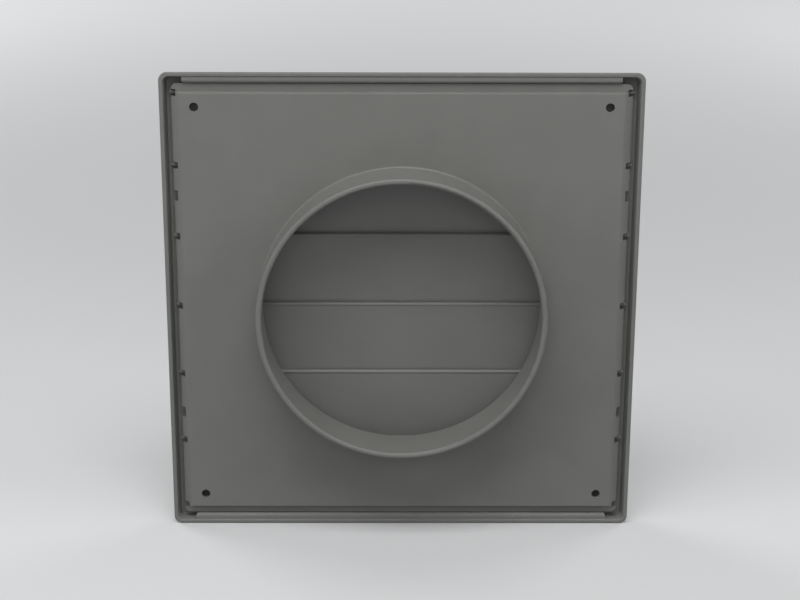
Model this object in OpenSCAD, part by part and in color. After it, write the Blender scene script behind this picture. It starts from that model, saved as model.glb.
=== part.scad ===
// Gravity flap vent grille for a round duct, as it hangs on an outside wall.
// The wall plane is y = 0, the duct spigot points to -Y, the flaps open to +Y, and Z is up.
// The origin is on the spigot's axis in the wall plane. Lengths are in millimetres.

/* [Case] */
// Outer width and height of the square case
case_size = 248; // [220:1:320]
// Wall of the case's sides and of its front border
case_wall = 2.3; // [1.8:0.1:2.6]
// Slope of each wall inward from the rear rim to the front border
case_taper = 1.4; // [0.5:0.1:1.5]
// Radius of the case's four corners outside the rear rim
corner_r = 4.4; // [4.4:0.1:6]
// Radius of the case's four corners inside the rear rim
inner_corner_r = 3; // [3:0.1:4]
// Radius of the edge round the front border
front_edge_r = 1.7; // [1:0.1:1.7]
// Height of the straight band behind the sloping walls, whose back is the rear rim
rim_band = 1.2; // [1:0.1:2]
// Radius of the rear rim's edges
rim_r = 0.7; // [0.3:0.1:0.8]
// Step of the rear rim back from the wall plane
rim_setback = 0.5; // [0:0.1:1.5]
// Width of the front border at the left and right
side_border = 11.8; // [11.6:0.1:16]
// Wall of the inner frame that carries the flaps and stands out in front of the border
frame_wall = 2; // [1.8:0.1:2]
// Height of the inner frame in front of the border
frame_height = 8; // [4:0.5:20]
// Radius of the inner frame's front edges
frame_edge_r = 0.8; // [0.3:0.1:0.8]
// Fall of the sill from the last flap to the front
sill_fall = 0.8; // [0.2:0.1:2]
// Step of the two locating bars back from the rear rim
bar_setback = 0.5; // [0:0.1:1.5]
// Radius of the locating bars' rear edge and ends
bar_r = 1.8; // [0.5:0.1:2]
// Gap between the locating bars and the back plate's edge
bar_gap = 0.3; // [0.2:0.1:0.5]

/* [Flaps] */
// Height of the first pivot below the case's outer edge
pivot_inset = 10.75; // [10.5:0.05:12]
// Diameter of the roll along a flap's top, whose ends are its two pins
pivot_d = 2.2; // [1.8:0.1:2.6]
// Thickness of a flap
flap_wall = 1.5; // [1:0.1:1.8]
// Radius of the corners of a flap's lower edge
flap_edge_r = 0.4; // [0.2:0.1:0.5]
// Running clearance of a pin in its cradle, on the radius
pin_clearance = 0.05; // [0.02:0.01:0.1]
// Gap between a flap and what it passes or rests against
flap_gap = 0.35; // [0.3:0.05:0.6]
// Height of a flap's lower edge above the next flap's pivot
flap_lap = 0.55; // [0.5:0.05:0.8]
// Reach of a pin past the back plate's edge
pin_reach = 1.5; // [0.5:0.1:2.5]
// Gap between the pins and the back of the front border
pin_room = 0.35; // [0.3:0.05:5]

/* [Back plate] */
// Gap between the plate's edge and the inside of the case
plate_gap = 3.7; // [3.4:0.1:4.5]
// Thickness of the plate's raised field
plate_wall = 2; // [1.5:0.1:2.6]
// Thickness of the plate's lower rim
ledge_wall = 1.3; // [1:0.1:1.8]
// Width of the plate's lower rim
ledge_w = 4.2; // [3.8:0.1:5.5]
// Height of the raised field above the lower rim
field_step = 3; // [2.7:0.1:4]
// Radius of the field's upper and lower edges
field_edge_r = 0.6; // [0.3:0.1:1]
// Radius of the soft edge between the field and its sloping sides
flank_edge_r = 3; // [1:0.5:5]
// Radius of the plate's corners
plate_corner_r = 3; // [2.5:0.1:5]
// Height of a pin notch
notch_h = 3.6; // [3:0.1:4.5]
// Depth of the notches from the plate's edge
notch_depth = 2.5; // [1.5:0.1:2.5]
// Radius of the notches' inner corners
notch_r = 0.5; // [0.2:0.1:0.7]

/* [Duct spigot] */
// Outside diameter of the spigot, which the duct slips over
duct_d = 150; // [100:1:190]
// Length of the spigot from the wall plane
spigot_len = 27.5; // [15:0.5:60]
// Wall of the spigot at its free rim
spigot_rim_wall = 3; // [2.8:0.1:4]
// Wall of the spigot at the plate
spigot_root_wall = 1.9; // [1.5:0.1:3]
// Radius of the edges of the spigot's rim
spigot_rim_r = 1.3; // [0.2:0.1:1.3]
// Fillet between the spigot and the plate
spigot_fillet_r = 0.8; // [0.3:0.1:2]

/* [Fixings] */
// Spacing of the four screw holes, across and up
screw_spacing = 212.5; // [180:0.5:214]
// Diameter of a screw hole
screw_d = 4.6; // [3.5:0.1:6]
// Height of the snap hooks above and below the middle
hook_height = 59.5; // [50:0.5:64]
// Width of a snap hook on the plate
hook_w = 4.4; // [3:0.1:5]
// Wall of a snap hook
hook_wall = 1; // [0.8:0.1:1]
// Room for a hook to spring back towards the inner frame
hook_room = 0.7; // [0.6:0.1:1]
// Overlap of a hook's tooth with the edge of its window
hook_overlap = 0.5; // [0.3:0.1:0.6]
// Clearance round a hook in its window
hook_gap = 0.3; // [0.2:0.1:0.4]
// Room in a wide notch on each side of its hook
hook_side_gap = 0.7; // [0.5:0.1:1.2]

/* [Hidden] */
$fn = 96;
case_colour = "#757572";
plate_colour = "#7a7a77";
flap_colour = "#6e6e6b";
// Overrun of a cut past the face that it opens
over = 1;
// Depth by which joined walls run into each other
weld = 0.2;
// Radius of the arc that rounds a slanting edge, over the rounding's own
arc_excess = 1.01;

// All pivots lie at one depth, where the rolls just clear the plate's lower rim
ledge_front_y = field_step + ledge_wall;
pivot_r = pivot_d / 2;
pivot_y = ledge_front_y + flap_gap + pivot_r;

// The front border lies close in front of the pins
border_back_y = pivot_y + pivot_r + pin_room;
border_y = border_back_y + case_wall;
front_y = border_y + frame_height;
case_depth = border_y - rim_setback;
case_inside = case_size - 2 * case_wall;

// The case's walls are parallel, so the cavity slopes as much as the outside
case_lean = atan(case_taper / (case_depth - rim_band));
cavity_depth = case_depth - case_wall;
cavity_taper = (cavity_depth - rim_band) * tan(case_lean);
// Fillet inside the case, between its front border and its walls
inside_fillet_r = 0.5;
cavity_edge_r = min(inside_fillet_r, inner_corner_r - cavity_taper);

plate_size = case_inside - 2 * plate_gap;
field_size = plate_size - 2 * ledge_w;
field_inside = field_size - 2 * plate_wall;

// Number of flaps, which is also the number of flap nodes
flap_count = 6;
flap_pitch = (case_size - 2 * pivot_inset) / flap_count;
first_pivot_z = case_size / 2 - pivot_inset;
sill_z = first_pivot_z - flap_count * flap_pitch;

// The front opening and the inner frame round the flaps
opening_x = case_size / 2 - side_border;
sill_back_z = sill_z - flap_lap;
// Distance of the sill's front end from the inner frame's front
sill_edge = 2;
sill_front_z = sill_back_z - sill_fall;
frame_out_x = opening_x + frame_wall;
frame_top_z = first_pivot_z + pivot_r + flap_gap;
frame_out_z = frame_top_z + frame_wall;

// The locating bars end short of the side channels that the pins reach into
bar_end_x = opening_x;
bar_z = plate_size / 2 + bar_gap;
bar_back_y = rim_setback + bar_setback;

// Height of the roll above the flap's back
roll_proud = 0.3;
flap_back = pivot_r - roll_proud;
// A flap leans forward until its back clears the next flap's roll
flap_lean = asin((flap_back + pivot_r + flap_gap) / flap_pitch);
flap_len = (flap_pitch - flap_lap) / cos(flap_lean);
flap_end_x = opening_x - flap_gap;
pin_end_x = plate_size / 2 + pin_reach;
// The two ejector marks on each flap's back
ejector_d = 3;
ejector_dip = 0.15;
ejector_x = 67;
ejector_drop = 11.4;

// Each hook goes through a window in the front border, and its tooth lies in a recess before it
hook_lip = 1;
hook_play = 0.1;
notch_end_x = max(plate_size / 2 - notch_depth, frame_out_x + hook_room + hook_wall);
window_end_x = notch_end_x + hook_gap;
tooth_x = window_end_x + hook_overlap;
lip_y = border_back_y + hook_lip;
window_h = hook_w + 2 * hook_gap;
wide_notch_h = hook_w + 2 * hook_side_gap;

// Stands up what is drawn in plan: its depth along z becomes depth along y
module upright() {
    rotate([90, 0, 0]) mirror([0, 0, 1]) children();
}

// Extrudes a section drawn in depth and height along the x axis
module along_x(length) {
    rotate([90, 0, 90]) linear_extrude(length, center = true) children();
}

// Sets a piece on the right side and its mirror image on the left
module both_sides() {
    children();
    mirror([1, 0, 0]) children();
}

module rounded_rect(w, h, r) {
    square([w - 2 * r, h], center = true);
    square([w, h - 2 * r], center = true);
    for (x = [-1, 1], y = [-1, 1])
        translate([x * (w / 2 - r), y * (h / 2 - r)]) circle(r);
}

// What a rounding of radius r leaves of a square corner at the origin
module corner_waste(r) {
    difference() {
        translate([-over, -over]) square(r + over);
        translate([r, r]) circle(r);
    }
}

// What a rounding of radius r, centred here, leaves between a level face and one turned from it.
// Its arc is a touch larger than r, so that it crosses the two faces and doesn't only touch them.
module turned_corner_waste(r, turn) {
    difference() {
        polygon([[0, 0], [0, -2 * r], [2 * r, -2 * r], [2 * r * sin(turn), -2 * r * cos(turn)]]);
        circle(arc_excess * r);
    }
}

// Section of a slab's edge strip that widens by the taper, with its low edge rounded by e
module strip_section(reach, t, e, taper) {
    turn = 90 - atan(taper / t);
    foot = reach - taper;
    difference() {
        polygon([[0, 0], [foot, 0], [reach, t], [0, t]]);
        translate([foot - e * tan(turn / 2), e]) turned_corner_waste(e, turn);
    }
}

// Slab of height h whose edge strip, r wide, has the section that the child draws
module square_slab(size, r, h) {
    linear_extrude(h) square(size - 2 * r, center = true);
    for (turn = [0:90:270])
        rotate(turn) translate([size / 2 - r, 0, 0]) {
            rotate([90, 0, 0]) linear_extrude(size - 2 * r, center = true) children();
            translate([0, size / 2 - r, 0]) rotate_extrude(angle = 90) children();
        }
}

module front_case() {
    color(case_colour) {
        upright() {
            difference() {
                union() {
                    case_shell();
                    raised_frame();
                }
                flap_opening();
                both_sides() for (z = [-1, 1]) translate([0, z * hook_height, 0]) hook_window();
            }
            both_sides() bearing_wall();
            translate([-frame_out_x, frame_top_z, ledge_front_y])
                cube([2 * frame_out_x, frame_wall, border_back_y + weld - ledge_front_y]);
        }
        along_x(2 * frame_out_x) sill_section();
        for (side = [0, 1]) mirror([0, 0, side]) locating_bar();
    }
}

module case_shell() {
    difference() {
        translate([0, 0, border_y]) mirror([0, 0, 1])
            square_slab(case_size, corner_r, case_depth) case_section();
        translate([0, 0, border_back_y]) mirror([0, 0, 1])
            square_slab(case_inside, inner_corner_r, cavity_depth + over) cavity_section();
    }
}

// Section of the case's outside, from its front border up to its rear rim
module case_section() {
    slope_h = case_depth - rim_band;
    strip_section(corner_r, slope_h, front_edge_r, case_taper);
    translate([0, slope_h]) {
        square([corner_r - rim_r, rim_band]);
        square([corner_r, rim_band - rim_r]);
        translate([corner_r - rim_r, rim_band - rim_r]) intersection() {
            circle(rim_r);
            square(rim_r);
        }
    }
}

// Section of the case's inside, from the front border up past the rear rim
module cavity_section() {
    slope_h = cavity_depth - rim_band;
    strip_section(inner_corner_r, slope_h, cavity_edge_r, cavity_taper);
    translate([0, slope_h]) square([inner_corner_r, rim_band + over]);
    translate([inner_corner_r, cavity_depth]) mirror([0, 1]) corner_waste(rim_r);
}

// Bar inside the top wall that holds the back plate's edge in line
module locating_bar() {
    h = case_size / 2 - bar_z;
    intersection() {
        along_x(2 * bar_end_x) translate([bar_back_y, bar_z]) difference() {
            square([border_back_y + weld - bar_back_y, case_inside / 2 + weld - bar_z]);
            corner_waste(bar_r);
        }
        upright() linear_extrude(border_back_y + over)
            translate([0, bar_z + h / 2]) rounded_rect(2 * bar_end_x, h, bar_r);
    }
}

// The inner frame in front of the border, with its outer front edges rounded
module raised_frame() {
    w = 2 * frame_out_x;
    h = 2 * frame_out_z;
    difference() {
        translate([-frame_out_x, -frame_out_z, border_back_y]) cube([w, h, front_y - border_back_y]);
        translate([0, 0, front_y]) for (side = [0, 180]) {
            rotate(side) translate([frame_out_x, 0, 0]) outer_edge(h);
            rotate(side + 90) translate([frame_out_z, 0, 0]) outer_edge(w);
        }
    }
}

// Waste of one rounded outer edge
module outer_edge(length) {
    rotate([90, 0, 0]) linear_extrude(length + 2 * over, center = true)
        rotate(180) corner_waste(frame_edge_r);
}

// The opening in the inner frame, with its front edge rounded
module flap_opening() {
    w = 2 * opening_x;
    h = frame_top_z - sill_front_z;
    translate([0, (frame_top_z + sill_front_z) / 2, front_y]) {
        translate([0, 0, border_back_y - over - front_y])
            linear_extrude(front_y - border_back_y + 2 * over) square([w, h], center = true);
        for (side = [0, 180]) {
            rotate(side) translate([w / 2, 0, 0]) opening_edge(h);
            rotate(side + 90) translate([h / 2, 0, 0]) opening_edge(w);
        }
    }
}

// Waste of one rounded edge, mitred where it meets its neighbours
module opening_edge(length) {
    r = frame_edge_r;
    intersection() {
        rotate([90, 0, 0]) linear_extrude(length + 2 * r, center = true)
            mirror([0, 1]) corner_waste(r);
        linear_extrude(4 * r, center = true)
            polygon([
                [-over, over - length / 2],
                [r, -r - length / 2],
                [r, r + length / 2],
                [-over, length / 2 - over]
            ]);
    }
}

// Window for a hook in the front border, wider in front of the lip that its tooth holds
module hook_window() {
    translate([frame_out_x, -window_h / 2, border_back_y - over])
        cube([window_end_x - frame_out_x, window_h, case_wall + 2 * over]);
    translate([frame_out_x, -window_h / 2, lip_y])
        cube([tooth_x + hook_gap - frame_out_x, window_h, case_wall + over - hook_lip]);
}

// One side of the inner frame, with a cradle for each flap's pin open to the back plate
module bearing_wall() {
    difference() {
        translate([opening_x, -frame_out_z, ledge_front_y])
            cube([frame_wall, 2 * frame_out_z, border_back_y + weld - ledge_front_y]);
        for (i = [1:flap_count])
            translate([opening_x - over, pivot_z(i), 0]) {
                translate([0, 0, pivot_y]) rotate([0, 90, 0])
                    cylinder(r = pivot_r + pin_clearance, h = frame_wall + 2 * over);
                translate([0, -pivot_r - pin_clearance, ledge_front_y - over])
                    cube([frame_wall + 2 * over, 2 * (pivot_r + pin_clearance), pivot_y - ledge_front_y + over]);
            }
    }
}

// The sill's upstand closes the last flap as a roll closes the others
module sill_section() {
    translate([pivot_y, sill_z]) circle(pivot_r);
    translate([ledge_front_y, -frame_out_z]) square([pivot_y - ledge_front_y, frame_out_z + sill_z]);
    polygon([
        [pivot_y, -frame_out_z],
        [front_y - sill_edge, -frame_out_z],
        [front_y - sill_edge, sill_front_z],
        [pivot_y + pivot_r, sill_back_z],
        [pivot_y + pivot_r, sill_z],
        [pivot_y, sill_z]
    ]);
}

module back_plate() {
    color(plate_colour) upright() {
        difference() {
            union() {
                raised_field();
                translate([0, 0, field_step]) linear_extrude(ledge_wall) difference() {
                    rounded_rect(plate_size, plate_size, plate_corner_r);
                    square([plate_size + over, field_inside], center = true);
                }
                both_sides() for (z = [-1, 1]) translate([0, z * hook_height, 0]) snap_hook();
            }
            cylinder(r = duct_d / 2 - spigot_root_wall / 2, h = 2 * plate_wall + over, center = true);
            for (x = [-1, 1], y = [-1, 1])
                translate([x, y, 0] * (screw_spacing / 2))
                    cylinder(d = screw_d, h = 2 * plate_wall + over, center = true);
            both_sides() {
                for (i = [1:flap_count + 1]) edge_notch(pivot_z(i), notch_h, notch_depth);
                for (z = [-1, 1])
                    edge_notch(z * hook_height, wide_notch_h, plate_size / 2 - notch_end_x);
            }
        }
        rotate_extrude() spigot_section();
    }
}

// The field with its sloping sides, hollow from the front
module raised_field() {
    difference() {
        rotate([90, 0, 0]) linear_extrude(field_size, center = true)
            for (side = [0, 1]) mirror([side, 0]) field_section();
        translate([0, 0, plate_wall]) linear_extrude(ledge_front_y)
            square(field_inside, center = true);
        both_sides() rotate([90, 0, 0]) linear_extrude(field_inside, center = true) flank_groove();
        for (side = [0, 180])
            rotate(side) translate([0, -field_size / 2, 0]) rotate([90, 0, 90])
                linear_extrude(plate_size + over, center = true) corner_waste(field_edge_r);
    }
}

// Half section of the raised field across its width
module field_section() {
    edge_x = field_size / 2;
    slope = atan(field_step / ledge_w);
    difference() {
        polygon([
            [0, 0],
            [edge_x, 0],
            [plate_size / 2, field_step],
            [plate_size / 2, ledge_front_y],
            [0, ledge_front_y]
        ]);
        translate([edge_x - flank_edge_r * tan(slope / 2), flank_edge_r])
            turned_corner_waste(flank_edge_r, slope);
    }
}

// Groove that keeps the sloping side to the wall of the rest
module flank_groove() {
    edge_x = field_size / 2;
    h = ledge_front_y + over - plate_wall;
    polygon([
        [edge_x, plate_wall],
        [edge_x + h * ledge_w / field_step, plate_wall + h],
        [edge_x, plate_wall + h]
    ]);
}

// Notch in the plate's right edge that reaches in to the given depth
module edge_notch(height, width, depth) {
    translate([plate_size / 2, height, -over])
        linear_extrude(ledge_front_y + 2 * over)
            rounded_rect(2 * depth, width, notch_r);
}

// Hook beside a wide notch, whose tooth holds the lip of its window in the front border
module snap_hook() {
    tooth_y = lip_y + hook_play;
    rotate([90, 0, 0]) linear_extrude(hook_w, center = true)
        polygon([
            [notch_end_x - hook_wall, plate_wall],
            [notch_end_x, plate_wall],
            [notch_end_x, tooth_y],
            [tooth_x, tooth_y],
            [notch_end_x, border_y],
            [notch_end_x - hook_wall, border_y]
        ]);
}

module spigot_section() {
    r = duct_d / 2;
    difference() {
        polygon([
            [r - spigot_rim_wall, -spigot_len],
            [r, -spigot_len],
            [r, plate_wall],
            [r - spigot_root_wall, plate_wall]
        ]);
        translate([r - spigot_rim_wall, -spigot_len]) corner_waste(spigot_rim_r);
        translate([r, -spigot_len]) mirror([1, 0]) corner_waste(spigot_rim_r);
    }
    translate([r, 0]) intersection() {
        mirror([0, 1]) corner_waste(spigot_fillet_r);
        translate([-spigot_root_wall / 2, -spigot_fillet_r])
            square([spigot_root_wall / 2 + spigot_fillet_r, spigot_fillet_r + plate_wall / 2]);
    }
}

// Height of a flap's pivot, counted from the top
function pivot_z(i) = first_pivot_z - (i - 1) * flap_pitch;

module flap(i) {
    color(flap_colour) translate([0, pivot_y, pivot_z(i)]) {
        rotate([0, 90, 0]) cylinder(r = pivot_r, h = 2 * (pin_end_x - pivot_r), center = true);
        both_sides() translate([pin_end_x - pivot_r, 0, 0]) sphere(pivot_r);
        rotate([flap_lean, 0, 0]) difference() {
            along_x(2 * flap_end_x) flap_section();
            both_sides() translate([ejector_x, ejector_dip - flap_back, -ejector_drop])
                rotate([90, 0, 0]) cylinder(d = ejector_d, h = ejector_dip + over);
        }
    }
}

module flap_section() {
    e = flap_edge_r;
    translate([-flap_back, -flap_len + e]) square([flap_wall, flap_len - e]);
    translate([-flap_back + e, -flap_len]) square([flap_wall - 2 * e, flap_len]);
    for (y = [e, flap_wall - e])
        translate([y - flap_back, -flap_len + e]) circle(e);
}

module flap_1() { flap(1); }
module flap_2() { flap(2); }
module flap_3() { flap(3); }
module flap_4() { flap(4); }
module flap_5() { flap(5); }
module flap_6() { flap(6); }

front_case();
back_plate();
flap_1();
flap_2();
flap_3();
flap_4();
flap_5();
flap_6();
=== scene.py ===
from math import radians

import bpy
from mathutils import Euler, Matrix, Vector


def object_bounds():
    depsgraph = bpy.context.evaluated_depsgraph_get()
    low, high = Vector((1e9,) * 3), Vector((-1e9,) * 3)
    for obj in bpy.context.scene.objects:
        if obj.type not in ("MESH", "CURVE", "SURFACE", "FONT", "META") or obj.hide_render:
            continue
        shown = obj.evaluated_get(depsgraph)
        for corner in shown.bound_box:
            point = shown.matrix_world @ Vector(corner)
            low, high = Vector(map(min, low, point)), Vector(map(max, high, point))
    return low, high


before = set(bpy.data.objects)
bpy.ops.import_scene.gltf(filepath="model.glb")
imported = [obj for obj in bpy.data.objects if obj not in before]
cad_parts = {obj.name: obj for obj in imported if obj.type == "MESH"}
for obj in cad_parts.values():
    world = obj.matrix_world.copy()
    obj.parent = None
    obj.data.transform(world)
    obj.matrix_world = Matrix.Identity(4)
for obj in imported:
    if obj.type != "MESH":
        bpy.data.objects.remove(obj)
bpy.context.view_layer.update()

MM = 0.001

# The camera is behind and above the grille, where the photograph was taken from
CAMERA_AT = (-5.8 * MM, -847.8 * MM, 254.8 * MM)
CAMERA_DEGREES = (73.52, -0.16, -0.29)
CAMERA_LENS = 75.5
SENSOR_WIDTH = 36.0

# ABS refracts light a little more than window glass does
ABS_IOR = 1.54
# The mould's grain is about 0.1 mm wide, and is drawn at 0.9 mm, the least that shows
GRAIN_WIDTH = 0.9 * MM
GRAIN_DEPTH = 0.05 * MM
# The walls drew in and warped over stretches of one to two flap heights
WAVE_LENGTH = 55 * MM
# Sheen and shade vary in patches, as the melt met the mould hotter or cooler
PATCH_WIDTH = 20 * MM
PATCH_SHADE = (0.965, 1.035)
PATCH_ROUGHNESS = (0.52, 0.64)
# Hands and packing left rubs, which are spots 4 mm wide and 10 mm tall
RUB_WIDTH = 4 * MM
RUB_SQUEEZE = (1.0, 1.0, 0.4)
RUB_POLISH = 0.07
# An edge shows where the normal rounded over 0.5 mm leaves the true one. The paler edge begins at
# the first of these cosines between the two, and is full at the second: wear from handling, and in
# part a painted highlight along the rims
WORN_EDGE = 0.5 * MM
WEAR_COSINES = (0.98, 0.80)
EDGE_POLISH = 0.05
# The mould's sharp corners come out a little rounded
CORNER_RADIUS = 0.25 * MM
# The parts of the noise that give the patches, the gaps in the wear and the rubs
PATCH_NOISE = (0.3, 0.7)
WEAR_NOISE = (0.35, 0.65)
RUB_NOISE = (0.55, 0.75)

# The floor is pale for the camera and darker for all other rays, so that it throws little light up
FLOOR_REACH = 6.0
FLOOR_SEEN = "#d9dadb"
FLOOR_UNSEEN = "#a8a9aa"
FLOOR_ROUGHNESS = 0.8
# For the camera alone, the floor also glows where the lamps no longer reach it, from the first of
# these distances on and fully at the second, and the world has its own brightness beyond the floor
LAMPS_REACH = (0.4, 3.6)
FLOOR_GLOW = 0.7
BACKDROP = 0.7


def add_camera():
    data = bpy.data.cameras.new("camera")
    data.lens = CAMERA_LENS
    data.sensor_width = SENSOR_WIDTH
    camera = bpy.data.objects.new("camera", data)
    camera.location = CAMERA_AT
    camera.rotation_euler = Euler([radians(angle) for angle in CAMERA_DEGREES])
    bpy.context.scene.collection.objects.link(camera)
    bpy.context.scene.camera = camera


def linear(hex_colour):
    """An sRGB hex colour as linear RGBA."""
    channels = [int(hex_colour[i:i + 2], 16) / 255 for i in (1, 3, 5)]
    return [c / 12.92 if c <= 0.04045 else ((c + 0.055) / 1.055) ** 2.4 for c in channels] + [1.0]


def new_material(name):
    """An empty node material, its node tree and its output node."""
    material = bpy.data.materials.new(name)
    material.use_nodes = True
    tree = material.node_tree
    tree.nodes.clear()
    return material, tree, tree.nodes.new("ShaderNodeOutputMaterial")


def add_node(tree, kind, settings=None, inputs=None):
    """Adds a node. An input given as an output socket is linked, and any other is set."""
    node = tree.nodes.new(kind)
    for name, value in (settings or {}).items():
        setattr(node, name, value)
    for name, value in (inputs or {}).items():
        if isinstance(value, bpy.types.NodeSocket):
            tree.links.new(value, node.inputs[name])
        else:
            node.inputs[name].default_value = value
    return node


def spark_textured_abs(name, colour, worn_and_highlight_colour, wave_height):
    """ABS injection-moulded against a spark-eroded steel mould.

    The eye gets an even, dull satin from the fine grain, slow changes of sheen where the walls
    cooled unevenly and drew in a little, and edges that handling has rubbed smoother and that are
    painted paler, partly as wear and partly as a painted highlight.
    """
    material, tree, output = new_material(name)
    place = add_node(tree, "ShaderNodeTexCoord").outputs["Object"]

    grain = add_node(tree, "ShaderNodeTexNoise", inputs={
        "Vector": place, "Scale": 1 / GRAIN_WIDTH, "Detail": 2.0, "Roughness": 0.6})
    waves = add_node(tree, "ShaderNodeTexNoise", inputs={
        "Vector": place, "Scale": 1 / WAVE_LENGTH, "Detail": 1.0})
    patches = add_node(tree, "ShaderNodeTexNoise", inputs={
        "Vector": place, "Scale": 1 / PATCH_WIDTH, "Detail": 3.0, "Roughness": 0.55})
    rubs = add_node(tree, "ShaderNodeTexNoise", inputs={
        "Vector": add_node(tree, "ShaderNodeMapping", inputs={
            "Vector": place, "Scale": RUB_SQUEEZE}).outputs["Vector"],
        "Scale": 1 / RUB_WIDTH, "Detail": 4.0, "Roughness": 0.7})

    # Wear lies along the edges, and comes and goes with the rubs; its paler colour is also in part
    # a painted highlight on the rims
    rounded = add_node(tree, "ShaderNodeBevel", {"samples": 6}, {"Radius": WORN_EDGE})
    true_normal = add_node(tree, "ShaderNodeNewGeometry").outputs["Normal"]
    likeness = add_node(tree, "ShaderNodeVectorMath", {"operation": "DOT_PRODUCT"}, {
        0: rounded.outputs["Normal"], 1: true_normal})
    edges = add_node(tree, "ShaderNodeMapRange", inputs={
        "Value": likeness.outputs["Value"],
        "From Min": WEAR_COSINES[0], "From Max": WEAR_COSINES[1]})
    gaps = add_node(tree, "ShaderNodeMapRange", inputs={
        "Value": rubs.outputs["Fac"], "From Min": WEAR_NOISE[0], "From Max": WEAR_NOISE[1]})
    wear_and_highlight = add_node(tree, "ShaderNodeMath", {"operation": "MULTIPLY"}, {
        0: edges.outputs["Result"], 1: gaps.outputs["Result"]})

    shade = add_node(tree, "ShaderNodeMapRange", inputs={
        "Value": patches.outputs["Fac"], "From Min": PATCH_NOISE[0], "From Max": PATCH_NOISE[1],
        "To Min": PATCH_SHADE[0], "To Max": PATCH_SHADE[1]})
    body = add_node(tree, "ShaderNodeVectorMath", {"operation": "SCALE"}, {
        0: linear(colour)[:3], "Scale": shade.outputs["Result"]})
    # The edges are mixed towards a paler colour: wear, and in part a painted highlight
    tint = add_node(tree, "ShaderNodeMix", {"data_type": "RGBA"}, {
        "Factor": wear_and_highlight.outputs["Value"], "A": body.outputs["Vector"], "B": linear(worn_and_highlight_colour)})

    dull = add_node(tree, "ShaderNodeMapRange", inputs={
        "Value": patches.outputs["Fac"], "From Min": PATCH_NOISE[0], "From Max": PATCH_NOISE[1],
        "To Min": PATCH_ROUGHNESS[0], "To Max": PATCH_ROUGHNESS[1]})
    rubbed = add_node(tree, "ShaderNodeMapRange", inputs={
        "Value": rubs.outputs["Fac"], "From Min": RUB_NOISE[0], "From Max": RUB_NOISE[1],
        "To Max": RUB_POLISH})
    polished = add_node(tree, "ShaderNodeMath", {"operation": "MULTIPLY_ADD"}, {
        0: wear_and_highlight.outputs["Value"], 1: EDGE_POLISH, 2: rubbed.outputs["Result"]})
    roughness = add_node(tree, "ShaderNodeMath", {"operation": "SUBTRACT"}, {
        0: dull.outputs["Result"], 1: polished.outputs["Value"]})

    softened = add_node(tree, "ShaderNodeBevel", {"samples": 4}, {"Radius": CORNER_RADIUS})
    slow_bump = add_node(tree, "ShaderNodeBump", inputs={
        "Height": waves.outputs["Fac"], "Distance": wave_height, "Strength": 1.0,
        "Normal": softened.outputs["Normal"]})
    fine_bump = add_node(tree, "ShaderNodeBump", inputs={
        "Height": grain.outputs["Fac"], "Distance": GRAIN_DEPTH, "Strength": 1.0,
        "Normal": slow_bump.outputs["Normal"]})
    shader = add_node(tree, "ShaderNodeBsdfPrincipled", inputs={
        "Base Color": tint.outputs["Result"], "Roughness": roughness.outputs["Value"],
        "IOR": ABS_IOR, "Normal": fine_bump.outputs["Normal"]})
    tree.links.new(shader.outputs["BSDF"], output.inputs["Surface"])
    return material


def camera_only(tree, seen, unseen):
    """A value that is one number for the camera's own rays and another for all the rest."""
    return add_node(tree, "ShaderNodeMapRange", inputs={
        "Value": add_node(tree, "ShaderNodeLightPath").outputs["Is Camera Ray"],
        "To Min": unseen, "To Max": seen}).outputs["Result"]


def dress(node, material):
    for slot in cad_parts[node].material_slots:
        slot.material = material


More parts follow.
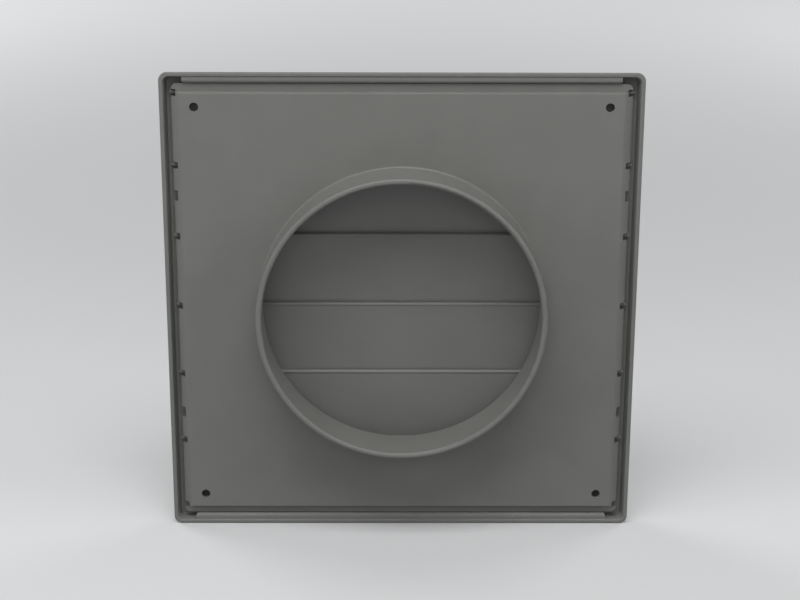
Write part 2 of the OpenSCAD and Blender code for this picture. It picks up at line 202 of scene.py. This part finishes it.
def add_floor():
    """A floor rolled with matt paint, which gives the eye an even, pale ground without gloss."""
    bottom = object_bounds()[0][2]
    mesh = bpy.data.meshes.new("floor")
    corners = [(FLOOR_REACH * x, FLOOR_REACH * y, bottom)
               for x, y in ((-1, -1), (1, -1), (1, 1), (-1, 1))]
    mesh.from_pydata(corners, [], [(0, 1, 2, 3)])
    floor = bpy.data.objects.new("floor", mesh)
    bpy.context.scene.collection.objects.link(floor)

    material, tree, output = new_material("painted floor")
    colour = add_node(tree, "ShaderNodeMix", {"data_type": "RGBA"}, {
        "Factor": camera_only(tree, 1.0, 0.0),
        "A": linear(FLOOR_UNSEEN), "B": linear(FLOOR_SEEN)})
    shader = add_node(tree, "ShaderNodeBsdfPrincipled", inputs={
        "Base Color": colour.outputs["Result"], "Roughness": FLOOR_ROUGHNESS})
    from_middle = add_node(tree, "ShaderNodeVectorMath", {"operation": "LENGTH"}, {
        0: add_node(tree, "ShaderNodeTexCoord").outputs["Object"]})
    far = add_node(tree, "ShaderNodeMapRange", {"interpolation_type": "SMOOTHSTEP"}, {
        "Value": from_middle.outputs["Value"],
        "From Min": LAMPS_REACH[0], "From Max": LAMPS_REACH[1], "To Max": FLOOR_GLOW})
    glow = add_node(tree, "ShaderNodeEmission", inputs={
        "Color": linear(FLOOR_SEEN), "Strength": camera_only(tree, far.outputs["Result"], 0.0)})
    both = add_node(tree, "ShaderNodeAddShader", inputs={
        0: shader.outputs["BSDF"], 1: glow.outputs["Emission"]})
    tree.links.new(both.outputs["Shader"], output.inputs["Surface"])
    mesh.materials.append(material)


def add_softbox(name, at, width, height, watts):
    """A rectangular area lamp that faces the origin, the middle of the spigot."""
    data = bpy.data.lights.new(name, "AREA")
    data.shape = "RECTANGLE"
    data.size = width
    data.size_y = height
    data.energy = watts
    lamp = bpy.data.objects.new(name, data)
    lamp.location = at
    lamp.rotation_euler = (-Vector(at)).to_track_quat("-Z", "Y").to_euler()
    bpy.context.scene.collection.objects.link(lamp)


def add_world(strength):
    world = bpy.data.worlds.new("studio")
    bpy.context.scene.world = world
    world.use_nodes = True
    tree = world.node_tree
    tree.nodes.clear()
    light = add_node(tree, "ShaderNodeBackground", inputs={
        "Color": linear("#ffffff"), "Strength": camera_only(tree, BACKDROP, strength)})
    output = tree.nodes.new("ShaderNodeOutputWorld")
    tree.links.new(light.outputs["Background"], output.inputs["Surface"])


add_camera()

# The second colour of each is the paler edge: wear, and in part a painted highlight on the rims
case_abs = spark_textured_abs("ABS, moulded, case", "#757572", "#7a7a77", 0.25 * MM)
plate_abs = spark_textured_abs("ABS, moulded, back plate", "#757572", "#7a7a77", 0.35 * MM)
# The flaps are the same ABS drawn paler than the case and plate: painted light, making up for
# light the lamps don't bring into the spigot
flap_abs_painted_paler = spark_textured_abs("ABS, moulded, flap, painted paler", "#797977", "#7e7e7c", 0.9 * MM)
dress("front_case", case_abs)
dress("back_plate", plate_abs)
for i in range(1, 7):
    dress(f"flap_{i}", flap_abs_painted_paler)

add_floor()
add_world(0.12)
add_softbox("overhead softbox", (0, -0.65, 1.2), 0.9, 0.6, 9.8)
add_softbox("upper left softbox", (-0.65, -0.55, 1.0), 0.6, 0.6, 2.6)
add_softbox("left softbox", (-1.4, -0.6, 0.45), 0.6, 0.6, 3.8)
add_softbox("right softbox", (1.2, -0.5, 0.65), 0.6, 0.6, 4.1)
add_softbox("front softbox", (0, -1.3, 0.6), 0.8, 0.6, 2.5)
# Two more for the grille's other side, which the photograph doesn't show
add_softbox("far left softbox", (-2.4, 1.9, 1.0), 1.6, 1.2, 42)
add_softbox("far right softbox", (2.0, 1.7, 0.8), 1.4, 1.2, 22)

bpy.context.scene.view_settings.view_transform = "Standard"
